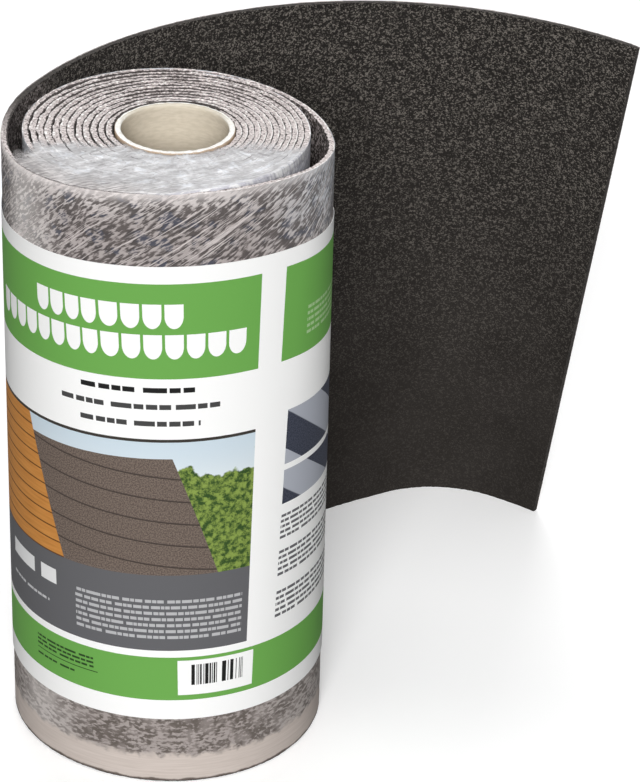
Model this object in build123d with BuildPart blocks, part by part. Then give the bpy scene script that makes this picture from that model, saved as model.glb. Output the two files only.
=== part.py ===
# A roll of roofing felt that stands on its end, with its outer turns loose and its free end open.
# Millimetres, +Z up. The origin is on the axis of the tube, at the level of the roll's lower end.
# Seen from above, the strip winds outward clockwise: right, front, left, back.
import os
from math import asin, ceil, cos, degrees, radians, sin

from build123d import *

# The strip of felt
felt_width = 500.0
felt_thickness = 4.0

# The cardboard tube in the middle
tube_outer_radius = 45.0
tube_wall = 4.5
tube_proud = 2.0
tube_rim_chamfer = 0.6
tube_fit = 0.15

# The tight turns. The winding is tighter on the right of the tube than on the left. The slits that
# show the turns on both ends run on a little, in degrees, past the strip's inner end and the step.
tight_turns = 11
pitch_right = 4.63
pitch_left = 5.64
slit_width = 0.9
slit_depth = 4.0
slit_lap = 2.0
inner_end_angle = 48.0

# The loose strip peels off the drum here, on the front left, a little inside the drum's outer face
peel_angle = 215.0
peel_root = 6.0
peel_inset = 0.2

# Stretches of the loose turns: how far each one turns, and how much wider than the drum it bends,
# at its lower edge and at its upper edge
loose_turns = [
    (50.0, -1.5, 2.5),
    (105.0, 13.5, 1.0),
    (56.5, -0.5, 33.0),
    (51.0, 22.0, -42.5),
    (60.0, 6.5, 58.0),
    (65.0, 20.5, -14.5),
    (34.0, -25.5, 73.0),
]

# Stretches of the free end: turn, and bend radius at the lower and at the upper edge
free_end = [(36.0, 686.0, 307.5), (56.5, 90.0, 349.0), (12.5, 242.0, 58.5)]

# The loose strip is drawn in narrow flats, each of which turns no more than this
flat_turn = 6.0

# The upper edge of the free end droops in one long curve
droop_start = 60.0
droop_radius = 2900.0

# The release film on the outer side of the strip, drawn thicker than the real film
film_gap = 0.3
film_thickness = 0.3
film_foot = 1.0
film_first_stretch = 3

# The film that lies over the front of the upper end
end_film_gap = 0.3
end_film_thickness = 0.3
end_film_margin = 2.0
end_film_back_y = -16.0

# The paper label round the outer turn
label_gap = 0.3
label_thickness = 0.3
label_bottom = 57.0
label_height = 386.0
label_back_y = 42.0


def right_of(turn):
    """where the outer face of a turn crosses the right of the tube"""
    return tube_outer_radius + pitch_right * turn


def left_of(turn):
    """where the outer face of a turn crosses the left of the tube"""
    return -tube_outer_radius - pitch_left * turn


def front_half(turn):
    """centre and radius of a turn's half circle in front of the tube"""
    return (right_of(turn) + left_of(turn)) / 2, (right_of(turn) - left_of(turn)) / 2


def back_half(turn):
    """centre and radius of the half circle behind the tube that leads on to the next turn"""
    return (right_of(turn + 1) + left_of(turn)) / 2, (right_of(turn + 1) - left_of(turn)) / 2


def at_angle(centre_x, centre_y, radius, angle):
    return centre_x + radius * cos(radians(angle)), centre_y + radius * sin(radians(angle))


wound_centre, wound_radius = front_half(tight_turns + 1)
stretches = [(peel_root, wound_radius, wound_radius)]
stretches += [(turn, wound_radius + lower, wound_radius + upper) for turn, lower, upper in loose_turns]
last_loose_stretch = len(stretches)
stretches += free_end


def strip_side(edge, standoff, first=0, last=None):
    """one side of the loose strip in plan, at its lower (0) or upper (1) edge, as corners of its flats"""
    angle = peel_angle + peel_root
    place = at_angle(wound_centre, 0, wound_radius - peel_inset, angle)
    corners = []
    for number, (turn, *radii) in enumerate(stretches[:last]):
        centre = at_angle(*place, -radii[edge], angle)
        flats = ceil(turn / flat_turn)
        if number >= first:
            steps = range(1 if corners else 0, flats + 1)
            corners += [at_angle(*centre, radii[edge] + standoff, angle - turn * step / flats) for step in steps]
        angle -= turn
        place = at_angle(*centre, radii[edge], angle)
    return corners


def strip_layer(inside, outside, first=0, last=None):
    """a layer of the loose strip between two distances, as a solid with flat faces"""
    outlines = []
    for edge, height in enumerate((0, felt_width)):
        corners = strip_side(edge, outside, first, last) + strip_side(edge, inside, first, last)[::-1]
        outlines.append([Vector(*corner, height) for corner in corners])
    faces = [Face(Wire.make_polygon(outline)) for outline in outlines]
    for index in range(len(outlines[0])):
        (start, end), (upper_start, upper_end) = [(outline[index - 1], outline[index]) for outline in outlines]
        faces.append(Face(Wire.make_polygon([start, end, upper_end, upper_start])))
    return Solid(Shell(faces))


def spiral(standoff):
    """the outer faces of the tight turns, from the strip's inner end to where it peels off"""
    centre, radius = back_half(0)
    start_angle = inner_end_angle + slit_lap
    start = CenterArc((centre, 0), radius + standoff, start_angle, -start_angle) @ 0
    for turn in range(1, tight_turns + 1):
        centre, radius = front_half(turn)
        sweep = 180 if turn < tight_turns else 360 + slit_lap - peel_angle
        arc = CenterArc((centre, 0), radius + standoff, 0, -sweep)
        if turn < tight_turns:
            centre, radius = back_half(turn)
            CenterArc((centre, 0), radius + standoff, 180, -180)
    return start, arc @ 1


def above_droop():
    """the profile of what lies above the drooping upper edge of the free end"""
    reach = 4 * wound_radius
    behind = wound_radius + 4 * felt_thickness
    with BuildSketch(Plane.XZ.offset(-behind)) as profile:
        with BuildLine():
            edge = JernArc((droop_start, felt_width), (1, 0), droop_radius, -degrees(asin(reach / droop_radius)))
            Polyline(edge @ 1, (droop_start + reach, felt_width + reach), (droop_start, felt_width + reach), edge @ 0)
        make_face()
    return profile.sketch


# The tube
with BuildPart() as core_tube:
    with BuildSketch():
        Circle(tube_outer_radius)
        Circle(tube_outer_radius - tube_wall, mode=Mode.SUBTRACT)
    extrude(amount=felt_width + tube_proud)
    chamfer(core_tube.faces().sort_by(Axis.Z)[-1].edges(), tube_rim_chamfer)
core_tube.part.label = "core_tube"

# The strip of felt
with BuildPart() as felt:
    # The drum of tight turns, with the step that the loose strip leaves from
    with BuildSketch():
        with BuildLine():
            centre, radius = back_half(tight_turns)
            CenterArc((centre, 0), radius, 180, -180)
            outer_face = CenterArc((wound_centre, 0), wound_radius, 0, peel_angle - 360)
            centre, radius = front_half(tight_turns)
            inner_face = CenterArc((centre, 0), radius, peel_angle, 180 - peel_angle)
            Line(outer_face @ 1, inner_face @ 0)
        make_face()
    extrude(amount=felt_width)
    # The bore, and the wedge that the strip's inner end leaves beside the tube
    with BuildSketch():
        Circle(tube_outer_radius + tube_fit)
        with BuildLine():
            centre, radius = back_half(0)
            wedge = CenterArc((centre, 0), radius + slit_width, inner_end_angle, 180 - inner_end_angle)
            Polyline(wedge @ 1, (0, 0), wedge @ 0)
        make_face()
    extrude(amount=felt_width, mode=Mode.SUBTRACT)
    # The slits between the turns, on both ends
    for end, inward in ((Plane.XY, slit_depth), (Plane.XY.offset(felt_width), -slit_depth)):
        with BuildSketch(end):
            with BuildLine():
                inner_face, outer_face = spiral(0), spiral(slit_width)
                Line(inner_face[0], outer_face[0])
                Line(inner_face[1], outer_face[1])
            make_face()
        extrude(amount=inward, mode=Mode.SUBTRACT)
    # The loose turns and the free end
    add(strip_layer(-felt_thickness, 0))
    extrude(above_droop(), amount=-4 * wound_radius, mode=Mode.SUBTRACT)
felt.part.label = "felt"

# The release film
with BuildPart() as release_film:
    film_outside = film_gap + film_thickness
    add(strip_layer(film_gap, film_outside, film_first_stretch))
    extrude(above_droop(), amount=-4 * wound_radius, mode=Mode.SUBTRACT)
    with BuildSketch():
        Rectangle(10 * wound_radius, 10 * wound_radius)
    extrude(amount=film_foot, mode=Mode.SUBTRACT)
release_film.part.label = "release_film"

# The film over the front of the upper end. On the left it also bridges the gap to the outer turn.
with BuildPart() as end_film:
    with BuildSketch(Plane.XY.offset(felt_width + end_film_gap)):
        with BuildLine():
            inside_outer_turn = -felt_thickness - end_film_margin
            Polyline(strip_side(1, inside_outer_turn, film_first_stretch, last_loose_stretch), close=True)
        make_face()
        Rectangle(4 * wound_radius, 4 * wound_radius, align=(Align.MAX, Align.CENTER), mode=Mode.INTERSECT)
        with Locations((wound_centre, 0)):
            Circle(wound_radius - end_film_margin)
        Circle(tube_outer_radius + end_film_margin, mode=Mode.SUBTRACT)
        with Locations((0, end_film_back_y)):
            Rectangle(4 * wound_radius, 2 * wound_radius, align=(Align.CENTER, Align.MIN), mode=Mode.SUBTRACT)
    extrude(amount=end_film_thickness)
end_film.part.label = "end_film"

# The label
with BuildPart() as label:
    label_inside = film_outside + label_gap
    label_outside = label_inside + label_thickness
    add(strip_layer(label_inside, label_outside, film_first_stretch, last_loose_stretch))
    with Locations((0, label_back_y, label_bottom)):
        Box(
            4 * wound_radius,
            4 * wound_radius,
            label_height,
            align=(Align.CENTER, Align.MAX, Align.MIN),
            mode=Mode.INTERSECT,
        )
label.part.label = "label"

os.makedirs("parts", exist_ok=True)
for piece in (core_tube, felt, release_film, end_film, label):
    export_step(piece.part, f"parts/{piece.part.label}.step")
    print(piece.part.label, round(piece.part.volume / 1000), "cm3")
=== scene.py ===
# %% [markdown]
# A roll of roofing felt
#
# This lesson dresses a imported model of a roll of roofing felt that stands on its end. The real thing
# is one flat strip, wound on a cardboard tube, with its last turns loose and its free end opened out.
# So nearly every piece here starts as a flat bar and is wound up by the same function as the strip.

from bisect import bisect
from collections import namedtuple
from math import atan2, ceil, cos, pi, radians, sin, sqrt, tau

import bmesh
import bpy
from mathutils import Matrix, Vector, noise


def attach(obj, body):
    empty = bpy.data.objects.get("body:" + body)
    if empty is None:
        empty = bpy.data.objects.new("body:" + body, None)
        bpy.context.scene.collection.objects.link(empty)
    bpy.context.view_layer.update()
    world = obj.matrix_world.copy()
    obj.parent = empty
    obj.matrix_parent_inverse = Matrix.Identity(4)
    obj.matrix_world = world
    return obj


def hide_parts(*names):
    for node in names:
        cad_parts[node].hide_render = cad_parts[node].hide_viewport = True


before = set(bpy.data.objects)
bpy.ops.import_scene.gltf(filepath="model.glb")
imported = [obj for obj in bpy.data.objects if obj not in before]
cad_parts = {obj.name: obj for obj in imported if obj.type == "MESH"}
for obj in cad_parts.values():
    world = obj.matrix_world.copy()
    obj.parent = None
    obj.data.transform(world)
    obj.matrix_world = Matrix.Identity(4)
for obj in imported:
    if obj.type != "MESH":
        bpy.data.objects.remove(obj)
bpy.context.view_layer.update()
mm = 0.001
print("nodes", sorted(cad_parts))

# %% [markdown]
# The camera
#
# The photograph looks down on the roll from the front with a long lens, and is tilted a little. The
# focal length comes in pixels, so it is turned into millimetres of Blender's 36 mm sensor, which
# lies along the longer side of the picture.

# %% Set up the camera
photo_height = 782
focal_length_px = 4542.3
camera_place = Vector((0.0045, -3.0642, 1.9413))
camera_aim = Vector((0.1139, 0.0, 0.2807))
camera_tilt = radians(1.77)


def add_object(name, data):
    """puts a new object into the scene"""
    made = bpy.data.objects.new(name, data)
    bpy.context.scene.collection.objects.link(made)
    return made


camera_data = bpy.data.cameras.new("camera")
camera_data.sensor_width = 36
camera_data.lens = focal_length_px / photo_height * camera_data.sensor_width
camera = add_object("camera", camera_data)
camera.matrix_world = (
    Matrix.Translation(camera_place)
    @ (camera_aim - camera_place).to_track_quat("-Z", "Y").to_matrix().to_4x4()
    @ Matrix.Rotation(camera_tilt, 4, "Z")
)
bpy.context.scene.camera = camera
bpy.context.scene.view_settings.view_transform = "Standard"
print("lens", round(camera_data.lens), "mm")

# %% [markdown]
# Helpers for nodes
#
# A material, and the sky too, is a tree of nodes. These helpers add one node each and fill its
# sockets, with a value or with a link to another node, so that what follows reads like a recipe.

# %% Write the node helpers


def fill(socket, value):
    """sets a socket to a value, or links it to another node's output"""
    if isinstance(value, bpy.types.NodeSocket):
        socket.id_data.links.new(value, socket)
    else:
        socket.default_value = value


def add_node(tree, kind, sockets, **settings):
    """adds a node, changes its settings, and fills its sockets by name or number"""
    node = tree.nodes.new("ShaderNode" + kind)
    for name, value in settings.items():
        setattr(node, name, value)
    for key, value in sockets.items():
        fill(node.inputs[key], value)
    return node


# %% Write the helpers for numbers


def calc(tree, operation, *values):
    return add_node(tree, "Math", dict(enumerate(values)), operation=operation).outputs[0]


def times(tree, first, second):
    return calc(tree, "MULTIPLY", first, second)


def plus(tree, first, second):
    return calc(tree, "ADD", first, second)


def minus(tree, first, second):
    return calc(tree, "SUBTRACT", first, second)


def shifted(tree, value, mask, amount):
    """adds to a value the given amount of a mask"""
    return calc(tree, "MULTIPLY_ADD", mask, amount, value)


def between(tree, value, low, high, start=0.0, end=1.0):
    """a soft step: start below low, end above high"""
    sockets = {"Value": value, "From Min": low, "From Max": high, "To Min": start, "To Max": end}
    return add_node(tree, "MapRange", sockets, interpolation_type="SMOOTHSTEP").outputs["Result"]


# %% Write the helpers for places


def split(tree, vector):
    return add_node(tree, "SeparateXYZ", {0: vector}).outputs


def stretch(tree, vector, factors):
    return add_node(tree, "VectorMath", {0: vector, 1: factors}, operation="MULTIPLY").outputs[0]


def object_place(tree):
    return add_node(tree, "TexCoord", {}).outputs["Object"]


def uv_place(tree, name):
    return add_node(tree, "UVMap", {}, uv_map=name).outputs[0]


# %% Write the helpers for colours and patterns


def linear(tone):
    """turns a colour as a screen shows it, from 0 to 255, into Blender's linear values"""
    return (*[((value / 255 + 0.055) / 1.055) ** 2.4 for value in tone], 1.0)


def mix(tree, share, *tones):
    """a colour between two, which are links or colours as a screen shows them"""
    first, second = [linear(tone) if isinstance(tone, tuple) else tone for tone in tones]
    sockets = {"Factor": share, 6: first, 7: second}
    return add_node(tree, "Mix", sockets, data_type="RGBA").outputs[2]


def layered(tree, lowest, layers):
    """lays colours over each other, each where its mask says"""
    for mask, tone in layers:
        lowest = mix(tree, mask, lowest, tone)
    return lowest


def speckle(tree, vector, scale, detail=2.0, roughness=0.5):
    """a noise between about 0.3 and 0.7"""
    sockets = {"Vector": vector, "Scale": scale, "Detail": detail, "Roughness": roughness}
    return add_node(tree, "TexNoise", sockets).outputs["Fac"]


# %% Write the helpers for materials and groups


def new_material(name):
    """an empty material with its Principled shader"""
    material = bpy.data.materials.new(name)
    material.use_nodes = True
    return material, material.node_tree, material.node_tree.nodes["Principled BSDF"]


def new_group(name, numbers, outputs):
    """an empty shader node group: its inputs are a vector and numbers, its outputs are numbers"""
    group = bpy.data.node_groups.new(name, "ShaderNodeTree")
    group.interface.new_socket("Vector", in_out="INPUT", socket_type="NodeSocketVector")
    for socket, value in numbers.items():
        made = group.interface.new_socket(socket, in_out="INPUT", socket_type="NodeSocketFloat")
        made.default_value = value
    for socket in outputs:
        group.interface.new_socket(socket, in_out="OUTPUT", socket_type="NodeSocketFloat")
    return group, group.nodes.new("NodeGroupInput").outputs, group.nodes.new("NodeGroupOutput").inputs


def use_group(tree, group, **sockets):
    node = tree.nodes.new("ShaderNodeGroup")
    node.node_tree = group
    for key, value in sockets.items():
        fill(node.inputs[key], value)
    return node.outputs


def set_surface(shader, base, roughness, specular=0.5):
    """fills the sockets that every material here needs"""
    fill(shader.inputs["Base Color"], base)
    shader.inputs["Roughness"].default_value = roughness
    shader.inputs["Specular IOR Level"].default_value = specular


def add_relief(shader, height, distance):
    """lets a height roughen the surface, up to a distance in metres"""
    bump = add_node(shader.id_data, "Bump", {"Height": height, "Distance": distance})
    fill(shader.inputs["Normal"], bump.outputs[0])


# %% [markdown]
# Light
#
# Plain studio light: a broad key from the front, weaker ones from above and behind, and a grey sky.
# Suns light the whole floor alike, so the background stays even. The sides of the roll turn away from
# the key and from the back light, and that is what rounds it. Together they light a pale front face
# at about full white, so a colour renders as it is written. The camera sees the sky as white.

# %% Add the lamps and the sky
key_strength = 0.92 * pi
top_strength = 0.28 * pi
back_strength = 0.3 * pi
sky_strength = 0.1


def add_sun(name, strength, azimuth, elevation, softness):
    """a soft sun that shines from an azimuth, where 0 is the front, and an elevation, in degrees"""
    data = bpy.data.lights.new(name, "SUN")
    data.energy = strength
    data.angle = radians(softness)
    add_object(name, data).rotation_euler = (radians(90 - elevation), 0, radians(azimuth))


add_sun("key_light", key_strength, azimuth=-4, elevation=27, softness=24)
add_sun("top_light", top_strength, azimuth=0, elevation=80, softness=40)
add_sun("back_light", back_strength, azimuth=180, elevation=52, softness=30)

world = bpy.data.worlds.new("sky")
bpy.context.scene.world = world
world.use_nodes = True
sky = world.node_tree
rays = add_node(sky, "LightPath", {}).outputs
seen = calc(sky, "MAXIMUM", rays["Is Camera Ray"], rays["Is Glossy Ray"])
brightness = add_node(sky, "MapRange", {"Value": seen, "To Min": sky_strength, "To Max": 1.0})
fill(sky.nodes["Background"].inputs["Strength"], brightness.outputs["Result"])
sky.nodes["Background"].inputs["Color"].default_value = (1, 1, 1, 1)

# %% [markdown]
# The floor
#
# A plain floor that takes the roll's shadow. It is the stage, not part of the object. A white floor
# would throw so much light up that the roll looks flat, so only the camera sees it as pale: to every
# other ray it is a mid grey.

# %% Lay the floor
floor_radius = 8.0
floor_glow = 0.13
floor_mesh = bmesh.new()
bmesh.ops.create_circle(floor_mesh, cap_ends=True, segments=64, radius=floor_radius)
floor_data = bpy.data.meshes.new("floor")
floor_mesh.to_mesh(floor_data)
floor = add_object("floor", floor_data)
floor_material, tree, shader = new_material("pale_floor")
in_view = add_node(tree, "LightPath", {}).outputs["Is Camera Ray"]
floor_tone = mix(tree, in_view, (128, 128, 128), (254, 254, 254))
set_surface(shader, floor_tone, roughness=0.9, specular=0.1)
fill(shader.inputs["Emission Strength"], times(tree, in_view, floor_glow))
floor_data.materials.append(floor_material)

# %% [markdown]
# How the strip is wound
#
# Seen from above, the strip winds outward clockwise, in arcs that run smoothly into each other. The
# tight turns are half circles about two centres, because the winding is tighter on the right. Each
# loose stretch has one radius at its lower edge and another at its upper edge, so the strip leans.
# A point of the flat strip is a distance along it, a height, and a standoff from its outer face.

# %% Work out the arcs of the winding
felt_width = 0.5
felt_thickness = 0.004
tube_outer_radius = 0.045
tight_turns = 11
pitch_right = 0.00463
pitch_left = 0.00564
inner_end_angle = 48.0
peel_angle = 215.0

right_faces = [tube_outer_radius + pitch_right * turn for turn in range(tight_turns + 2)]
left_faces = [tube_outer_radius + pitch_left * turn for turn in range(tight_turns + 2)]
wound_radius = (right_faces[-1] + left_faces[-1]) / 2

first_radius = (right_faces[1] + left_faces[0]) / 2
# Turn in degrees, lower radius, upper radius
stretches = [(inner_end_angle, first_radius, first_radius)]
for turn in range(1, tight_turns + 1):
    front_radius = (right_faces[turn] + left_faces[turn]) / 2
    back_radius = (right_faces[turn + 1] + left_faces[turn]) / 2
    stretches += [(180, front_radius, front_radius), (180, back_radius, back_radius)]
stretches.append((360 - peel_angle, wound_radius, wound_radius))
tight_stretches = len(stretches)
# How far each loose turn bends, and how much wider than the drum, at its lower and its upper edge
loose_turns = [
    (50.0, -0.0015, 0.0025),
    (105.0, 0.0135, 0.001),
    (56.5, -0.0005, 0.033),
    (51.0, 0.022, -0.0425),
    (60.0, 0.0065, 0.058),
    (65.0, 0.0205, -0.0145),
    (34.0, -0.0255, 0.073),
]
stretches += [(turn, wound_radius + lower, wound_radius + upper) for turn, lower, upper in loose_turns]
wound_stretches = len(stretches)
# The free end, with its own radii
stretches += [(36.0, 0.686, 0.3075), (56.5, 0.09, 0.349), (12.5, 0.242, 0.0585)]

Bend = namedtuple("Bend", "start length angle turn lower_centre lower_radius upper_centre upper_radius")


def wind(stretches, angle, place):
    """the bends of the whole strip, one after the other, from an angle and a place at its inner end"""
    bends = []
    start, lower, upper = 0.0, place, place
    for turn, lower_radius, upper_radius in stretches:
        outward = Vector((cos(angle), sin(angle), 0))
        lower_centre = lower - lower_radius * outward
        upper_centre = upper - upper_radius * outward
        turn = radians(turn)
        length = turn * (lower_radius + upper_radius) / 2
        bends.append(Bend(start, length, angle, turn, lower_centre, lower_radius, upper_centre, upper_radius))
        start += length
        angle -= turn
        outward = Vector((cos(angle), sin(angle), 0))
        lower = lower_centre + lower_radius * outward
        upper = upper_centre + upper_radius * outward
    return bends


first_centre = Vector(((right_faces[1] - left_faces[0]) / 2, 0, 0))
first_angle = radians(inner_end_angle)
first_place = first_centre + first_radius * Vector((cos(first_angle), sin(first_angle), 0))
bends = wind(stretches, first_angle, first_place)
bend_starts = [bend.start for bend in bends]
strip_length = bends[-1].start + bends[-1].length
peel_run = bends[tight_stretches].start
free_run = bends[wound_stretches].start
print("strip", round(strip_length, 2), "m, of which", round(peel_run, 2), "m lie in the tight turns")

# %% [markdown]
# The free end droops a little, so its upper edge comes down in one long curve.

# %% Place a point of the strip
droop_start = 0.06
droop_radius = 2.9
droop_behind = 0.12


def drooped(place):
    """a point of the strip after the droop of the free end"""
    reach = place.x - droop_start
    if reach <= 0 or place.y < droop_behind:
        return place
    drop = droop_radius - sqrt(droop_radius**2 - reach**2)
    return Vector((place.x, place.y, place.z * (1 - drop / felt_width)))


def on_strip(run, height, standoff):
    """where a point of the flat strip lies: run along it, height up it, standoff from its outer face"""
    bend = bends[max(bisect(bend_starts, run) - 1, 0)]
    angle = bend.angle - bend.turn * (run - bend.start) / bend.length
    outward = Vector((cos(angle), sin(angle), 0))
    lower = bend.lower_centre + outward * (bend.lower_radius + standoff)
    upper = bend.upper_centre + outward * (bend.upper_radius + standoff)
    place = lower.lerp(upper, height / felt_width)
    place.z = height
    return drooped(place) if run > free_run else place


# %% [markdown]
# Flat bars that get wound
#
# Every layer of the roll starts as a cube, stretched to a flat bar. It is cut across its height where
# rows are wanted, then across its length into many columns, so that it can bend. The columns come in
# two rounds of cuts, because one round of thousands is slow. The bar's outline stays closed, so the
# layer is a real solid when it is wound. Its flat coordinates are kept before that in two UV maps:
# one holds the run and the height, the other the standoff.

# %% Make and wind flat bars


def cut_bar(bar, place, direction):
    everything = bar.verts[:] + bar.edges[:] + bar.faces[:]
    bmesh.ops.bisect_plane(bar, geom=everything, plane_co=place, plane_no=direction)


def flat_bar(first_run, last_run, inside, outside, rows, layers, column_width):
    """a closed flat bar: x runs along the strip, y is the standoff, z is the height"""
    bar = bmesh.new()
    bmesh.ops.create_cube(bar, size=1.0)
    size = Vector((last_run - first_run, outside - inside, rows[-1] - rows[0]))
    centre = Vector((last_run + first_run, outside + inside, rows[-1] + rows[0])) / 2
    bmesh.ops.scale(bar, vec=size, verts=bar.verts)
    bmesh.ops.translate(bar, vec=centre, verts=bar.verts)
    for row in rows[1:-1]:
        cut_bar(bar, (0, 0, row), (0, 0, 1))
    for layer in range(1, layers):
        cut_bar(bar, (0, inside + (outside - inside) * layer / layers, 0), (0, 1, 0))
    columns = ceil(size.x / column_width)
    coarse = ceil(sqrt(columns))
    for cuts in (coarse, ceil(columns / coarse)):
        ends = [(edge, *[vert.co.x for vert in edge.verts]) for edge in bar.edges]
        long_edges = [edge for edge, first, last in ends if abs(first - last) > column_width / 2]
        bmesh.ops.subdivide_edges(bar, edges=long_edges, cuts=cuts - 1, use_grid_fill=True)
    return bar


def finish_bar(bar, name, materials, replaced=(), pick_material=lambda normal: 0):
    """winds a flat bar and hands it over as a finished piece with smooth faces"""
    bar.normal_update()
    strip_map = bar.loops.layers.uv.new("strip")
    standoff_map = bar.loops.layers.uv.new("standoff")
    for face in bar.faces:
        face.material_index = pick_material(face.normal)
        face.smooth = True
        for loop in face.loops:
            loop[strip_map].uv = (loop.vert.co.x, loop.vert.co.z)
            loop[standoff_map].uv = (loop.vert.co.y, 0)
    for edge in bar.edges:
        if len(edge.link_faces) == 2 and edge.calc_face_angle() > radians(50):
            edge.smooth = False
    for vert in bar.verts:
        vert.co = on_strip(vert.co.x, vert.co.z, vert.co.y)
    finish_piece(bar, name, materials, replaced)


def finish_piece(mesh, name, materials, replaced=(), body="root"):
    """writes a bmesh to an object that rides on a body"""
    bmesh.ops.recalc_face_normals(mesh, faces=mesh.faces)
    data = bpy.data.meshes.new(name)
    mesh.to_mesh(data)
    mesh.free()
    for material in materials:
        data.materials.append(material)
    piece = add_object(name, data)
    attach(piece, body)
    if replaced:
        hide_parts(*replaced)
    print(name, len(data.polygons), "faces")


def rough(x, y, z, seed):
    """a smooth random value between about -1 and 1"""
    return noise.noise(Vector((x, y, z + 17.3 * seed)))


def clamp(value):
    return min(max(value, 0.0), 1.0)


# %% [markdown]
# Slate granules
#
# The inner side of the strip is covered with slate granules under a millimetre across. Each is a
# cell of a Voronoi pattern with its own shade, and a few catch the light. The group gives a light
# mask and a height, so the granulated face and the cut edges can share it.

# %% Build the granule group
granules, given, wanted = new_group("slate_granules", {"Size": 0.001, "Share": 0.5}, ["Light", "Height"])
cells_scale = calc(granules, "DIVIDE", 1.0, given["Size"])
cells = add_node(granules, "TexVoronoi", {"Vector": given["Vector"], "Scale": cells_scale})
shade = add_node(granules, "SeparateColor", {0: cells.outputs["Color"]}).outputs[0]
clumps = speckle(granules, given["Vector"], times(granules, cells_scale, 0.3), detail=3.0)
lit = plus(granules, times(granules, shade, 0.75), times(granules, clumps, 0.9))
threshold = minus(granules, 1.3, given["Share"])
fill(wanted["Light"], between(granules, lit, threshold, plus(granules, threshold, 0.4)))
dome = minus(granules, 1.0, cells.outputs["Distance"])
fill(wanted["Height"], times(granules, dome, plus(granules, shade, 0.3)))

# %% [markdown]
# The granulated face is near black, with brown-grey granules. The softer light lower down the strip
# is painted: there the ground is lighter and patchier and the granules stand out less, so their
# contrast follows the height in the strip's UV map. On the turns, the granules along the upper edge
# look coarser and are painted lighter, a painted highlight where light catches that face.

# %% Make the slate face
slate_face, tree, shader = new_material("slate_face")
place = object_place(tree)
flat = split(tree, uv_place(tree, "strip"))
fine = use_group(tree, granules, Vector=place, Size=0.00095, Share=0.46)
coarse = use_group(tree, granules, Vector=place, Size=0.0016, Share=0.5)
patches = speckle(tree, place, 14.0, detail=4.0)
contrast = between(tree, flat["Y"], 0.06, 0.5, 0.12, 1.0)
near_edge = between(tree, flat["Y"], 0.41, 0.49)
on_turns = between(tree, flat["X"], free_run + 0.08, free_run - 0.06)
# painted light: a lighter, patchier ground that shows lower down, where the strip is painted as lying in
# softer light
painted_soft_light_ground = mix(tree, between(tree, patches, 0.35, 0.65), (40, 36, 33), (48, 44, 41))
slate_layers = [
    (times(tree, contrast, 0.8), (24, 21, 19)),
    (times(tree, fine["Light"], contrast), (129, 123, 116)),
    # painted highlight: the granules along the turns' upper edge are painted lighter, where light catches
    # that face
    (
        times(tree, times(tree, near_edge, on_turns), 0.85),
        mix(tree, coarse["Light"], (60, 52, 50), (212, 201, 198)),
    ),
]
set_surface(shader, layered(tree, painted_soft_light_ground, slate_layers), roughness=0.85, specular=0.25)
add_relief(shader, times(tree, fine["Height"], contrast), 0.0005)

# %% [markdown]
# The outer face is smooth bitumen, and is seen only through gaps. The cut edges show the felt's
# inside: dusty grey fibre with dark crumbs between. Along the granulated side of the edge the dust
# is broken away, most of all behind the tube, which leaves dark dashes between the turns, and the
# innermost turn is dark there. On the free end nothing covers the edge, so it stays dark.

# %% Make the bitumen and the cut edge
bitumen, tree, shader = new_material("bitumen")
smears = speckle(tree, object_place(tree), 60.0, detail=4.0)
bitumen_tone = mix(tree, smears, (24, 22, 21), (52, 48, 46))
set_surface(shader, bitumen_tone, roughness=0.5)
add_relief(shader, smears, 0.0004)

cut_edge, tree, shader = new_material("cut_edge")
place = object_place(tree)
x, y, z = split(tree, place)
strip_run = split(tree, uv_place(tree, "strip"))["X"]
standoff = split(tree, uv_place(tree, "standoff"))["X"]
crumbs = use_group(tree, granules, Vector=place, Size=0.0012, Share=0.75)
fibres = speckle(tree, place, 520.0, detail=3.0, roughness=0.6)
at_back = between(tree, y, -0.01, 0.08)
at_right = between(tree, x, -0.02, 0.07)
inner_turn = times(tree, between(tree, strip_run, 0.34, 0.3), at_back)
mottled = times(tree, at_back, between(tree, speckle(tree, place, 330.0), 0.5, 0.56))
brink = shifted(tree, standoff, speckle(tree, place, 260.0), 0.003)
for mask, shift in ((at_back, -0.0011), (at_right, 0.0003), (inner_turn, -0.0034)):
    brink = shifted(tree, brink, mask, shift)
dusty = mix(tree, between(tree, fibres, 0.35, 0.65), (178, 168, 166), (236, 227, 225))
dark_edge = mix(tree, crumbs["Light"], (26, 23, 21), (62, 57, 53))
edge_layers = [
    (between(tree, fibres, 0.42, 0.35), (96, 86, 84)),
    (times(tree, mottled, 0.75), (104, 95, 93)),
    (between(tree, brink, -0.0018, -0.0022), (54, 47, 45)),
    (between(tree, strip_run, free_run - 0.09, free_run - 0.01), dark_edge),
]
set_surface(shader, layered(tree, dusty, edge_layers), roughness=0.9)
add_relief(shader, fibres, 0.0006)

# %% [markdown]
# The felt strip
#
# The whole strip is one bar, 7 metres long, wound from the tube to its free end. Its rows are close
# together only near the cut edges, because the strip is straight in between. The edges get ragged
# before the bar is wound: each point is pushed a little by a smooth random value, each turn ends a
# little lower than the last or the next, and the granulated corner is broken off here and there.
# On the left, where the turns are looser, that corner swells into the gap.

# %% Wind the felt strip
edge_roughness = 0.45 * mm
corner_break = 0.9 * mm
corner_swell = 0.8 * mm
turn_unevenness = 0.6 * mm
overhang = 0.3 * mm
edge_rows = (0.0, 1.2 * mm, 4 * mm)
middle_rows = (0.12, 0.25, 0.38)
strip_rows = [*edge_rows, *middle_rows, *[felt_width - row for row in reversed(edge_rows)]]


def edge_drop(run, height):
    """how far short of the full width the strip's edge is cut"""
    return abs(rough(run * 9, 0, height * 3, 2)) * turn_unevenness


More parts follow.
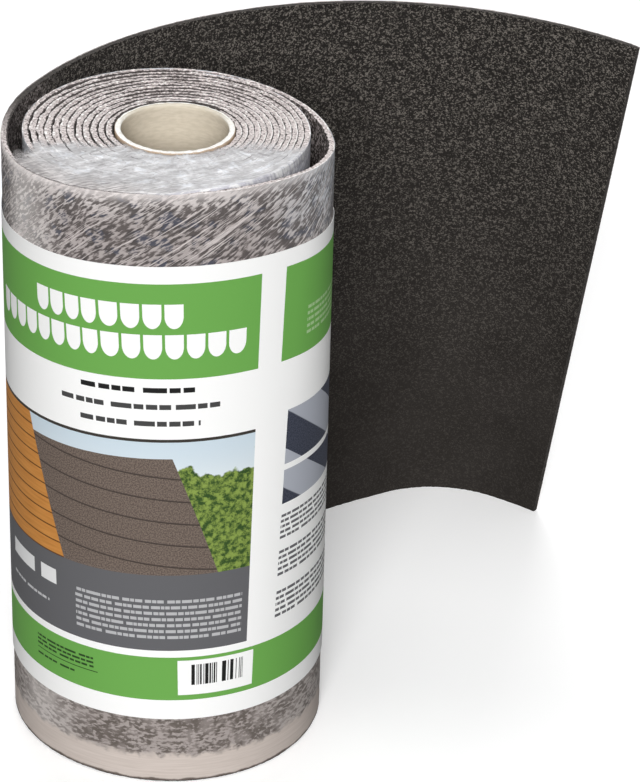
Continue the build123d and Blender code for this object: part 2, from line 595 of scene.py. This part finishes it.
def roughen_edges(bar):
    """ragged cut edges, and turns that don't end at one level"""
    for vert in bar.verts:
        run, standoff, height = vert.co
        from_edge = min(height, felt_width - height)
        if from_edge > edge_rows[-1] / 2:
            continue
        upper = height > felt_width / 2
        ragged = rough(run * 420, standoff * 600, height * 90, 1) * edge_roughness
        inward = max(ragged + edge_drop(run, height), -overhang if upper else 0)
        vert.co.z += -inward if upper else inward
        vert.co.y += rough(run * 330, standoff * 500, 5, 3) * edge_roughness * 0.6
        vert.co.y += rough(run * 90, standoff * 120, 9, 4) * edge_roughness * 0.7
        if standoff < -0.7 * felt_thickness and run < free_run and from_edge < edge_rows[1] / 2:
            looseness = clamp(0.5 - on_strip(run, height, standoff).x / 0.12)
            at_corner = 1.0 if standoff < -0.9 * felt_thickness else 0.3
            broken = (0.5 + rough(run * 140, 0, height * 5, 18)) * at_corner
            vert.co.z += (-1 if upper else 1) * broken * corner_break * (0.3 + 0.7 * looseness)
            vert.co.y -= (at_corner - 0.6 * broken) * corner_swell * looseness


strip = flat_bar(0.0, strip_length, -felt_thickness, 0.0, strip_rows, layers=4, column_width=2.2 * mm)
roughen_edges(strip)


def felt_side(normal):
    """0 for the granulated inner face, 1 for the outer face, 2 for the cut edges"""
    if abs(normal.y) > 0.8:
        return 0 if normal.y < 0 else 1
    return 2


finish_bar(strip, "felt_strip", [slate_face, bitumen, cut_edge], ["felt"], felt_side)

# %% [markdown]
# The film's edge between the turns
#
# The film is wound in with the felt, and is cut a little wider. So a torn white lip stands up
# between the turns, all the way round. It is modelled as its own narrow bar on the outer corner of
# the felt's edge. It wanders sideways, leans out where the turns are looser, on the left, and is
# pushed down into the felt where it is torn away or lies under the film of the upper end.

# %% Wind the film's edge
lip_material, tree, shader = new_material("film_lip")
x, y, z = split(tree, object_place(tree))
frayed = speckle(tree, uv_place(tree, "strip"), 300.0, detail=3.0)
fresh = mix(tree, between(tree, frayed, 0.35, 0.6), (206, 197, 195), (252, 249, 247))
dusted = calc(tree, "MAXIMUM", between(tree, x, 0.0, -0.06), between(tree, y, 0.02, 0.07))
dusted = times(tree, dusted, between(tree, frayed, 0.6, 0.45))
set_surface(shader, mix(tree, dusted, fresh, (188, 178, 176)), roughness=0.4)
add_relief(shader, frayed, 0.0002)

lip_start, lip_end = 0.03, free_run - 0.05
lip_inside, lip_outside = -0.55 * mm, 0.2 * mm
lip_rows = [felt_width - 0.4 * mm, felt_width + 0.5 * mm]
lip_lean, lip_wander, lip_fray, lip_tear, lip_stub = 0.85 * mm, 0.5 * mm, 0.4 * mm, 0.9 * mm, 0.1 * mm
covered_from, covered_to, covered_drop = 6.235, 6.4, 0.5 * mm
lip = flat_bar(lip_start, lip_end, lip_inside, lip_outside, lip_rows, layers=1, column_width=1.8 * mm)
for vert in lip.verts:
    run, standoff, height = vert.co
    wound_place = on_strip(run, height, 0.0)
    loose_left = max(-wound_place.x / 0.1, 0.0)
    if standoff > 0 and run < peel_run - 0.3:
        vert.co.y += loose_left * max(1.0 + 2.2 * rough(run * 105, 0, 0, 19), 0.0) * lip_lean
    if covered_from < run < covered_to:
        vert.co.z -= covered_drop
    wander = rough(run * 110, 0, 0, 6) * 0.9 + rough(run * 400, standoff * 900, 0, 7) * 0.5
    vert.co.y += wander * lip_wander
    if height > felt_width:
        behind = clamp(wound_place.y / 0.06)
        torn = max(0.0, rough(run * 55, 0, 0, 8) - 0.08 + 0.2 * behind) * 4 * mm
        torn_height = height + rough(run * 350, 0, 0, 9) * lip_fray - min(torn, lip_tear)
        vert.co.z += max(torn_height, lip_rows[0] + lip_stub) - height
    vert.co.z -= edge_drop(run, felt_width)
finish_bar(lip, "film_lip", [lip_material])

# %% [markdown]
# The release film
#
# A thin film covers the sticky outer side. Where it clings to the bitumen the black shows through,
# and where air is caught it looks milky, so it is all blotches. It was drawn tight at a slant, which
# left streaks that rise to the right. Near the lower edge the blotches lie level, and the last two
# centimetres are plain. The group works in the strip's flat coordinates.

# %% Build the cling group
cling_sizes = {"Angle": 0.0, "Length": 0.006, "Width": 0.002}
cling, given, wanted = new_group("film_cling", cling_sizes, ["Mask", "Streaks"])
spun_sockets = {"Vector": given["Vector"], "Angle": given["Angle"]}
spun = add_node(cling, "VectorRotate", spun_sockets, rotation_type="Z_AXIS").outputs[0]
x, y, z = split(cling, spun)
along = calc(cling, "DIVIDE", x, given["Length"])
across = calc(cling, "DIVIDE", y, given["Width"])
cells = add_node(cling, "CombineXYZ", {0: along, 1: across}).outputs[0]
long_cells = {0: times(cling, along, 0.08), 1: times(cling, across, 1.3)}
lines = add_node(cling, "CombineXYZ", long_cells).outputs[0]
blotches = speckle(cling, cells, 1.0, roughness=0.55)
patches = speckle(cling, given["Vector"], 45.0)
weighted = plus(cling, blotches, times(cling, minus(cling, patches, 0.5), 0.42))
fill(wanted["Mask"], between(cling, weighted, 0.39, 0.56))
fill(wanted["Streaks"], between(cling, speckle(cling, lines, 1.0, detail=1.0), 0.57, 0.66))

# %% [markdown]
# The blotches are strongest on the front. Near the left and right of the roll there are fewer, and
# the film is painted lighter there: painted light on the sides, which turn away from the key. Just
# under the upper edge the film hangs looser and hazier, a few deep patches look blue, and on the
# right a bluish tint under the upper edge is a painted sheen. So the material first works out where
# a point lies: how far to the right of the label's first edge, and how high. On the drum, which shows
# only through the gap on the right, it is painted near white and bluish with steep streaks: a painted
# highlight that lifts it out of the outer turn's shade.

# %% Make the release film's material
print_offset = 0.0194
print_start = bends[wound_stretches - 1].start - print_offset


def cling_at(tree, vector, degrees, length, width):
    """the film's blotches and streaks, turned by an angle and as long and wide as given"""
    return use_group(tree, cling, Vector=vector, Angle=radians(degrees), Length=length, Width=width)


release_film, tree, shader = new_material("release_film")
strip_uv = uv_place(tree, "strip")
flat = split(tree, strip_uv)
strip_height = flat["Y"]
rightward = minus(tree, print_start, flat["X"])
slanted = cling_at(tree, strip_uv, 37, 0.0066, 0.0022)
level = cling_at(tree, strip_uv, 0, 0.0052, 0.0026)
steep = cling_at(tree, strip_uv, 65, 0.008, 0.0022)
low_part = between(tree, strip_height, 0.13, 0.08)
high_part = minus(tree, 1.0, low_part)
above_foot = between(tree, shifted(tree, strip_height, speckle(tree, strip_uv, 90.0), 0.014), 0.028, 0.034)
near_left = times(tree, between(tree, rightward, 0.09, 0.03), between(tree, rightward, -0.01, 0.03))
near_right = between(tree, rightward, 0.2, 0.3)
calm_left = shifted(tree, 1.0, near_left, -0.5)
calm_right = shifted(tree, 1.0, near_right, -0.12)
under_rim = between(tree, strip_height, 0.5, 0.491, 0.3, 1.0)
level_share = between(tree, speckle(tree, strip_uv, 75.0), 0.36, 0.56, 0.55, 1.0)
level_mask = times(tree, times(tree, level["Mask"], level_share), low_part)
mask = calc(tree, "MULTIPLY_ADD", slanted["Mask"], high_part, level_mask)
for share in (above_foot, calm_left, calm_right, under_rim):
    mask = times(tree, mask, share)
streaks = times(tree, slanted["Streaks"], high_part)

# %% [markdown]
# The colours are laid over each other: first the milky film and the plain foot below it, then the
# dark blotches with their deep blue patches, the pale streaks, the scuffed lower edge and the drum.

# %% Colour the release film
haze = speckle(tree, strip_uv, 40.0, detail=3.0)
# painted light: the sides of the roll are painted lighter, since they turn away from the key
painted_light_sides = calc(tree, "MAXIMUM", near_left, times(tree, near_right, 0.5))
stretched_rim = between(tree, strip_height, 0.475, 0.498)
milky = mix(tree, haze, (162, 153, 151), (186, 177, 175))
milky_layers = [
    (times(tree, painted_light_sides, 0.85), (246, 240, 237)),
    (times(tree, stretched_rim, 0.75), (226, 219, 217)),
    # painted sheen: a bluish tint under the upper edge on the right
    (times(tree, near_right, between(tree, strip_height, 0.43, 0.48)), (214, 217, 223)),
    (times(tree, low_part, 0.45), (160, 150, 144)),
]
foot_streaks = speckle(tree, stretch(tree, strip_uv, (30.0, 700.0, 1.0)), 1.0, detail=3.0)
plain_foot = mix(tree, foot_streaks, (190, 177, 168), (220, 209, 202))
milky = mix(tree, above_foot, plain_foot, layered(tree, milky, milky_layers))

depth = speckle(tree, strip_uv, 70.0)
blue_place = times(tree, between(tree, depth, 0.55, 0.6), between(tree, strip_height, 0.41, 0.43))
dark = mix(tree, between(tree, depth, 0.4, 0.6), (84, 77, 75), (54, 50, 50))
dark = layered(tree, dark, [(blue_place, (56, 61, 76)), (low_part, (94, 86, 80))])
# the film's own bluish white, painted up to near white: a painted highlight against the outer turn's shade
drum_film_and_painted_highlight = mix(tree, steep["Mask"], (250, 250, 255), (196, 196, 208))
drum_film_and_painted_highlight = mix(tree, steep["Streaks"], drum_film_and_painted_highlight, (255, 255, 255))
foot_wear = shifted(tree, strip_height, speckle(tree, strip_uv, 60.0, detail=3.0), -0.005)
film_layers = [
    (times(tree, mask, 0.9), dark),
    (times(tree, streaks, 0.8), (216, 207, 205)),
    (between(tree, foot_wear, 0.0008, -0.0008), (104, 94, 88)),
    (between(tree, flat["X"], peel_run + 0.02, peel_run - 0.02), drum_film_and_painted_highlight),
]
set_surface(shader, layered(tree, milky, film_layers), roughness=0.45, specular=0.2)
add_relief(shader, minus(tree, plus(tree, streaks, 0.4), mask), 0.0003)

# %% [markdown]
# The film itself is a very thin bar outside the strip, with slanted wrinkles in its shape. It starts
# on the drum, where the gap on the right lets it be seen, and runs to the free end. Its rows are
# closer where it shows. On the front left its upper edge folds over the felt's corner, so that no
# dark slot is left under the film of the upper end.

# %% Wind the release film
film_gap = 0.3 * mm
film_thickness = 0.2 * mm
wrinkle_height = 0.22 * mm
film_foot = 1 * mm
seen_on_drum = 5.22
row_steps = [*range(5, 61, 5), *range(80, 440, 30), *range(440, 500, 5)]
film_rows = [film_foot, *[step * mm for step in row_steps], felt_width - 0.2 * mm, felt_width + 0.2 * mm]
fold_from, fold_to, fold_blend = 6.2, 6.47, 0.05
fold_rise, fold_inward, rim_fray = 0.45 * mm, 0.7 * mm, 0.4 * mm
film = flat_bar(seen_on_drum, strip_length, film_gap, film_gap + film_thickness, film_rows, 1, 4 * mm)
for vert in film.verts:
    run, standoff, height = vert.co
    wrinkle = rough((run - height) * 160, (run + height) * 26, 0, 10)
    vert.co.y += (wrinkle + 0.3) * wrinkle_height
    if height > felt_width:
        fold = clamp(min(run - fold_from, fold_to - run) / fold_blend)
        vert.co.z += rough(run * 300, 0, 0, 11) * rim_fray * (1 - fold) + fold_rise * fold
        vert.co.y -= fold_inward * fold
finish_bar(film, "film_sheet", [release_film], ["release_film"])

# %% [markdown]
# The cardboard tube
#
# The tube is wound from strips of paper at a slant, so a seam climbs its wall. Its cut rim is nearly
# white and a little frayed, and the outer ply shows as a thin brown line. At the back, the rim's inner
# half and the wall just under it stay kraft brown, not white: painted shade under the rim. A profile
# of eight points is spun round the axis, which gives a closed ring without a seam.

# %% Make the cardboard
tube_wall = 4.5 * mm
tube_inner_radius = tube_outer_radius - tube_wall
tube_top = felt_width + 2 * mm
seam_climb = 0.11

cardboard, tree, shader = new_material("cardboard")
place = object_place(tree)
x, y, z = split(tree, place)
flattened = stretch(tree, place, (1, 1, 0))
from_axis = add_node(tree, "VectorMath", {0: flattened}, operation="LENGTH").outputs["Value"]
turn = calc(tree, "DIVIDE", calc(tree, "ARCTAN2", y, x), tau)
climb = calc(tree, "FRACT", plus(tree, calc(tree, "DIVIDE", z, seam_climb), turn))
seam = between(tree, climb, 0.012, 0.004)
fibres = speckle(tree, stretch(tree, place, (1, 1, 4)), 150.0, detail=4.0)
kraft = mix(tree, between(tree, fibres, 0.35, 0.65), (204, 194, 176), (214, 204, 187))
kraft = mix(tree, times(tree, seam, 0.6), kraft, (176, 164, 144))
rim_grain = between(tree, speckle(tree, place, 500.0), 0.3, 0.5)
ragged_top = shifted(tree, z, speckle(tree, place, 200.0), 1.2 * mm)
# painted shade: at the back the rim's inner edge stays kraft brown, as shade under the rim
painted_shade_under_rim = times(tree, between(tree, from_axis, 0.0434, 0.0426), between(tree, y, 0.0, 0.03))
tube_layers = [
    (
        between(tree, ragged_top, tube_top - 0.9 * mm, tube_top - 0.4 * mm),
        mix(tree, rim_grain, (240, 234, 222), (255, 254, 250)),
    ),
    (times(tree, painted_shade_under_rim, 0.9), kraft),
    (times(tree, between(tree, from_axis, 0.0444, 0.0448), 0.8), (158, 128, 98)),
]
set_surface(shader, layered(tree, kraft, tube_layers), roughness=0.8, specular=0.2)
add_relief(shader, minus(tree, fibres, seam), 0.00012)

# %% Spin the tube
tube_row = 0.49
rim_across, rim_down = 0.6 * mm, 0.5 * mm
rim_fraying = 0.5 * mm
rim_waviness = 0.006
wall_heights = [0.0, tube_row, tube_top - rim_down]
half_profile = [(tube_outer_radius, height) for height in wall_heights]
half_profile += [(tube_outer_radius - rim_across, tube_top), (tube_inner_radius + rim_across, tube_top)]
half_profile += [(tube_inner_radius, height) for height in reversed(wall_heights)]
tube = bmesh.new()
corners = [tube.verts.new((radius, 0, height)) for radius, height in half_profile]
outline = [tube.edges.new((corners[index - 1], corners[index])) for index in range(len(corners))]
rim_edges = [edge for edge in outline if min(vert.co.z for vert in edge.verts) > tube_row - 5 * mm]
bmesh.ops.subdivide_edges(tube, edges=rim_edges, cuts=2)
profile = tube.verts[:] + tube.edges[:]
bmesh.ops.spin(tube, geom=profile, cent=(0, 0, 0), axis=(0, 0, 1), angle=tau, steps=180, use_merge=True)
for vert in tube.verts:
    if vert.co.z > tube_top - 1 * mm:
        angle = atan2(vert.co.y, vert.co.x)
        fray = rough(cos(angle) * 9, sin(angle) * 9, vert.co.xy.length * 500, 12)
        vert.co.z += (fray - 0.2) * rim_fraying
        vert.co.xy *= 1 + rough(cos(angle) * 12, sin(angle) * 12, vert.co.z * 100, 13) * rim_waviness
for face in tube.faces:
    face.smooth = True
finish_piece(tube, "tube", [cardboard], ["core_tube"])

# %% [markdown]
# The film over the upper end
#
# A hazy film lies folded over the front half of the upper end, with crumbs of slate caught under it.
# It begins in a ragged line beside the tube, further forward over the gap on the left, and reaches
# to the edge of the drum, and on the left to the outer turn as well. It is a flat grid, bent round
# the tube in a fan, wrinkled and then given its thickness. Its outer edge is looked up on the wound
# strip, so that it fits, and its last rows hang down over that edge.

# %% Colour the hazy film
hazy_film, tree, shader = new_material("hazy_film")
place = object_place(tree)
x, y, z = split(tree, place)
fan_uv = uv_place(tree, "fan")
fan = split(tree, fan_uv)
fan_streaks = stretch(tree, fan_uv, (22.0, 9.0, 1.0))
folds = speckle(tree, fan_streaks, 1.0, detail=4.0, roughness=0.6)
slanted = cling_at(tree, place, -24, 0.009, 0.0016)
across_turn = calc(tree, "FRACT", times(tree, fan["Y"], 12.0))
lip_lines = times(tree, between(tree, across_turn, 0.2, 0.06), between(tree, folds, 0.42, 0.54))
gap_lines = times(tree, between(tree, across_turn, 0.8, 0.9), between(tree, folds, 0.5, 0.4))
on_left = between(tree, x, 0.02, -0.05)
near_rim = times(tree, between(tree, fan["Y"], 0.5, 0.86), on_left)
blotched = mix(tree, slanted["Mask"], (214, 207, 205), (134, 126, 124))
crumbs = use_group(tree, granules, Vector=place, Size=0.0021, Share=0.36)["Light"]
crumb_share = between(tree, x, 0.04, -0.03, 0.2, 0.55)
crumb_share = times(tree, between(tree, fan["Y"], 0.06, 0.3), crumb_share)
hanging = times(tree, between(tree, fan["Y"], 0.82, 0.88), minus(tree, 1.0, on_left))
hanging_tint = mix(tree, slanted["Mask"], (255, 255, 255), (206, 205, 214))
haze = speckle(tree, place, 50.0)
film_tint = mix(tree, haze, (214, 213, 214), (231, 231, 234))
tint_layers = [
    (times(tree, slanted["Mask"], 0.5), (178, 175, 178)),
    (times(tree, slanted["Streaks"], 0.7), (252, 252, 254)),
    # painted highlights: bluish white on the film's folds, where they would catch the light
    (times(tree, between(tree, folds, 0.52, 0.66), 0.8), (244, 247, 253)),
    (times(tree, lip_lines, 0.8), (252, 252, 253)),
    (times(tree, gap_lines, 0.5), (150, 146, 150)),
    (times(tree, near_rim, 0.8), blotched),
    (times(tree, crumbs, crumb_share), (142, 134, 136)),
    (times(tree, hanging, 0.9), hanging_tint),
]
set_surface(shader, layered(tree, film_tint, tint_layers), roughness=0.3)
add_relief(shader, shifted(tree, folds, slanted["Streaks"], 0.3), 0.0012)

# %% Make the hazy film end in ragged lines
ragged_y = shifted(tree, y, speckle(tree, place, 42.0, detail=4.0, roughness=0.65), 0.05)
over_gap = between(tree, x, -0.1, -0.112)
for mask, shift in ((gap_lines, 0.012), (over_gap, 0.02)):
    ragged_y = shifted(tree, ragged_y, mask, shift)
cover = between(tree, ragged_y, 0.004, -0.028)
clearness = between(tree, speckle(tree, fan_streaks, 0.7, detail=3.0), 0.35, 0.65, 0.72, 0.95)
ragged_hem = shifted(tree, fan["Y"], speckle(tree, place, 160.0, detail=3.0), 0.06)
hem_end = shifted(tree, 1.02, on_left, -0.1)
hem = between(tree, minus(tree, ragged_hem, hem_end), 0.0, -0.05)
fill(shader.inputs["Alpha"], times(tree, times(tree, cover, clearness), hem))

# %% Lay the film over the upper end
drum_centre_x = (right_faces[-1] - left_faces[-1]) / 2
outer_runs = [6.2 + 0.01 * step for step in range(27)]
outer_edge = [on_strip(run, felt_width, -0.4 * mm) for run in outer_runs]
outer_angles = [-(atan2(point.y, point.x) % tau) for point in outer_edge]


def drum_reach(angle):
    """how far the drum's edge is from the tube's axis in a direction"""
    return drum_centre_x * cos(angle) + sqrt(wound_radius**2 - (drum_centre_x * sin(angle)) ** 2)


def outer_reach(angle):
    """how far the outer turn's edge is from the tube's axis in a direction"""
    index = min(max(bisect(outer_angles, -angle), 1), len(outer_edge) - 1)
    share = (-angle - outer_angles[index - 1]) / (outer_angles[index] - outer_angles[index - 1])
    point = outer_edge[index - 1].lerp(outer_edge[index], clamp(share))
    return point.xy.length


def on_outer_turn(angle):
    """1 on the left, where the film lies on the outer turn too, 0 on the right"""
    return clamp((radians(280) - angle) / radians(12))


def film_reach(angle):
    """the film's outer edge: the drum's on the right, the outer turn's on the left"""
    share = on_outer_turn(angle)
    return drum_reach(angle) * (1 - share) + outer_reach(angle) * share


film_first, film_last = radians(186), radians(354)
hem_start, hem_drop, hem_bulge = 0.86, 9 * mm, 1.1 * mm
sheet_thickness, sheet_lift, sheet_wrinkles, least_lift = 0.15 * mm, 1.1 * mm, 0.9 * mm, 0.65 * mm
sheet = bmesh.new()
bmesh.ops.create_grid(sheet, x_segments=220, y_segments=30, size=0.5)
fan_map = sheet.loops.layers.uv.new("fan")
for face in sheet.faces:
    face.smooth = True
    for loop in face.loops:
        loop[fan_map].uv = (loop.vert.co.x + 0.5, loop.vert.co.y + 0.5)
for vert in sheet.verts:
    angle = film_first + (film_last - film_first) * (vert.co.x + 0.5)
    outward = vert.co.y + 0.5
    start = tube_outer_radius + (1.0 + rough(angle * 9, 0, 0, 14)) * mm
    on_top = min(outward / hem_start, 1.0)
    over_edge = max(outward - hem_start, 0.0) / (1 - hem_start)
    distance = start + (film_reach(angle) - start) * on_top + hem_bulge * sin(over_edge * pi / 2)
    wrinkles = rough(angle * 9, outward * 4, 0, 15) + 0.6 * rough(angle * 30, outward * 7, 0, 16)
    height = felt_width + max(sheet_lift + sheet_wrinkles * wrinkles * (1 - on_top**4), least_lift)
    drop = hem_drop * (1 - 0.8 * on_outer_turn(angle))
    vert.co = (distance * cos(angle), distance * sin(angle), height - drop * over_edge**1.6)
bmesh.ops.recalc_face_normals(sheet, faces=sheet.faces)
bmesh.ops.solidify(sheet, geom=sheet.faces[:], thickness=sheet_thickness)
finish_piece(sheet, "top_film", [hazy_film], ["end_film"])

# %% [markdown]
# The label
#
# A paper band round the outer turn, printed with plain panels, pictures of plain things and dashes
# for small print. The print is worked out in the strip's flat coordinates: each panel is a rectangle,
# and the colours are laid over each other from the paper up.

# %% Write the printing helpers
label_bottom = 0.057
label_top = 0.443

label_paper, tree, shader = new_material("label_paper")
strip_uv = uv_place(tree, "strip")
flat = split(tree, strip_uv)
sheet_x = minus(tree, print_start, flat["X"])
sheet_y = flat["Y"]
white = (254, 254, 253)
green = (110, 170, 82)
grey = (100, 100, 103)
black = (30, 30, 30)


def panel(left, right, bottom, top):
    """1 inside a rectangle of the label, 0 outside it"""
    across = calc(tree, "COMPARE", sheet_x, (left + right) / 2, (right - left) / 2)
    up = calc(tree, "COMPARE", sheet_y, (bottom + top) / 2, (top - bottom) / 2)
    return times(tree, across, up)


def small_print(left, right, bottom, top, lines, letter=0.0009, share=0.5):
    """a block of lines that are broken into dashes like words"""
    rows = times(tree, minus(tree, sheet_y, bottom), lines / (top - bottom))
    along = calc(tree, "DIVIDE", minus(tree, sheet_x, left), letter * 7)
    spot = {0: times(tree, along, 0.5), 1: times(tree, calc(tree, "FLOOR", rows), 7.3)}
    wander = speckle(tree, add_node(tree, "CombineXYZ", spot).outputs[0], 1.0, detail=0.0)
    words = calc(tree, "MULTIPLY_ADD", wander, 2.2, minus(tree, along, 0.8))
    in_word = calc(tree, "GREATER_THAN", calc(tree, "FRACT", words), 0.17)
    in_line = calc(tree, "LESS_THAN", calc(tree, "FRACT", rows), share)
    return times(tree, panel(left, right, bottom, top), times(tree, in_word, in_line))


def shingles(left, right, bottom, top, count):
    """a row of shingles with rounded lower ends"""
    steps = times(tree, minus(tree, sheet_x, left), count / (right - left))
    beside = calc(tree, "DIVIDE", minus(tree, calc(tree, "FRACT", steps), 0.5), 0.43)
    inside = calc(tree, "LESS_THAN", calc(tree, "ABSOLUTE", beside), 1.0)
    drop = calc(tree, "SQRT", calc(tree, "MAXIMUM", minus(tree, 1.0, calc(tree, "POWER", beside, 2.0)), 0.0))
    round_end = calc(tree, "MULTIPLY_ADD", drop, -0.5 * (top - bottom), bottom + 0.5 * (top - bottom))
    shape = times(tree, inside, calc(tree, "GREATER_THAN", sheet_y, round_end))
    return times(tree, panel(left, right, bottom, top), shape)


# %% [markdown]
# The picture is a plain composition of things that go with the roll: level boards on the left, a
# field of felt laid in courses, and a hedge under a pale sky. The small pictures on the right show
# dark felt with its film half drawn off.

# %% Draw the picture
leaves = speckle(tree, strip_uv, 190.0, detail=3.0, roughness=0.7)
crowns = shifted(tree, sheet_y, speckle(tree, strip_uv, 38.0, detail=4.0), -0.07)
hedge = mix(tree, between(tree, leaves, 0.38, 0.62), (52, 78, 38), (138, 160, 78))

slope = shifted(tree, sheet_y, sheet_x, 0.12)
courses = calc(tree, "FRACT", calc(tree, "DIVIDE", slope, 0.019))
felt_grain = between(tree, speckle(tree, strip_uv, 900.0), 0.35, 0.65)
felt_field = mix(tree, felt_grain, (92, 80, 73), (124, 111, 102))
felt_field = mix(tree, between(tree, courses, 0.1, 0.03), felt_field, (66, 58, 54))
left_of_hedge = calc(tree, "LESS_THAN", sheet_x, shifted(tree, 0.255, sheet_y, -0.35))
in_felt = times(tree, left_of_hedge, calc(tree, "LESS_THAN", sheet_y, 0.284))

boards = calc(tree, "FRACT", calc(tree, "DIVIDE", sheet_y, 0.0115))
wood_grain = speckle(tree, stretch(tree, strip_uv, (40.0, 500.0, 1.0)), 1.0, detail=3.0)
wood = mix(tree, wood_grain, (176, 112, 48), (226, 160, 86))
wood = mix(tree, between(tree, boards, 0.14, 0.05), wood, (96, 58, 28))
in_boards = calc(tree, "LESS_THAN", sheet_x, shifted(tree, 0.118, sheet_y, -0.28))

pale_sky = mix(tree, between(tree, sheet_y, 0.24, 0.3), (232, 238, 240), (205, 220, 230))
in_hedge = between(tree, crowns, 0.241, 0.238)
picture = layered(tree, pale_sky, [(in_hedge, hedge), (in_felt, felt_field), (in_boards, wood)])

film_line = plus(tree, times(tree, sheet_x, 1.6), times(tree, sheet_y, 2.2))
drawn_off = between(tree, calc(tree, "FRACT", times(tree, film_line, 7.0)), 0.48, 0.5)
small_picture = mix(tree, felt_grain, (48, 52, 64), (74, 78, 92))
small_picture = mix(tree, drawn_off, small_picture, (176, 180, 190))

# %% [markdown]
# Now the panels, from the paper up. Each row gives a mask and its colour.

# %% Print the label
dark_grey = (70, 70, 70)
pale_grey = (236, 236, 236)
leaf_green = (44, 70, 36)
print_rows = [
    (panel(-0.1, 0.218, 0.351, 0.429), green),
    (shingles(0.0495, 0.1655, 0.3925, 0.4125, 8), white),
    (shingles(-0.0085, 0.2090, 0.3675, 0.3875, 15), white),
    (small_print(0.09, 0.172, 0.3395, 0.3465, 1, 0.0018, 0.6), black),
    (small_print(0.072, 0.19, 0.3255, 0.3325, 1, 0.0016, 0.6), dark_grey),
    (small_print(0.088, 0.176, 0.3115, 0.3185, 1, 0.0016, 0.6), dark_grey),
    (panel(0.237, 0.6, 0.351, 0.429), green),
    (small_print(0.262, 0.6, 0.366, 0.392, 5), (170, 205, 150)),
    (panel(-0.1, 0.218, 0.118, 0.3), picture),
    (panel(-0.1, 0.218, 0.298, 0.3005), (60, 56, 52)),
    (panel(-0.1, 0.218, 0.118, 0.184), grey),
    (panel(0.0, 0.034, 0.157, 0.17), pale_grey),
    (panel(0.042, 0.058, 0.157, 0.17), pale_grey),
    (small_print(0.0, 0.05, 0.139, 0.1435, 1), (200, 200, 202)),
    (small_print(0.075, 0.212, 0.1285, 0.165, 7), (186, 186, 188)),
    (panel(-0.1, 0.6, 0.074, 0.112), green),
    (small_print(0.035, 0.087, 0.094, 0.105, 3), leaf_green),
    (panel(0.035, 0.09, 0.0905, 0.0913), leaf_green),
    (small_print(0.035, 0.072, 0.085, 0.0885, 1), leaf_green),
    (panel(0.157, 0.225, 0.0785, 0.109), white),
    (panel(0.246, 0.6, 0.262, 0.308), small_picture),
    (panel(0.246, 0.6, 0.228, 0.257), small_picture),
]
for bottom, top in ((0.198, 0.221), (0.166, 0.19), (0.13, 0.155)):
    print_rows.append((small_print(0.246, 0.6, bottom, top, 5), grey))
bar_width = 0.75 * mm
bar_spot = calc(tree, "FLOOR", calc(tree, "DIVIDE", sheet_x, bar_width))
bar_chance = add_node(tree, "TexWhiteNoise", {"W": bar_spot}, noise_dimensions="1D").outputs["Value"]
bars = times(tree, panel(0.168, 0.215, 0.087, 0.105), calc(tree, "GREATER_THAN", bar_chance, 0.5))
print_rows.append((bars, black))
set_surface(shader, layered(tree, white, print_rows), roughness=0.55, specular=0.15)
add_relief(shader, speckle(tree, strip_uv, 1400.0), 0.00006)

# %% [markdown]
# The band is a thin bar like the film, one thickness further out. Real paper on a loose roll is never
# quite round, so long shallow waves run through it.

# %% Wind the label
start_shift, end_shift = 0.088, 0.066
label_start = bends[tight_stretches + 2].start + start_shift
label_end = bends[wound_stretches - 1].start + end_shift
label_gap = 0.3 * mm
label_thickness = 0.3 * mm
label_inside = film_gap + film_thickness + 2 * label_gap
label_rows = [label_bottom + (label_top - label_bottom) * step / 48 for step in range(49)]
paper_waves = 0.3 * mm
label = flat_bar(label_start, label_end, label_inside, label_inside + label_thickness, label_rows, 1, 5 * mm)
for vert in label.verts:
    vert.co.y += rough(vert.co.x * 18, vert.co.z * 5, 0, 17) * paper_waves
finish_bar(label, "paper_band", [label_paper], ["label"])
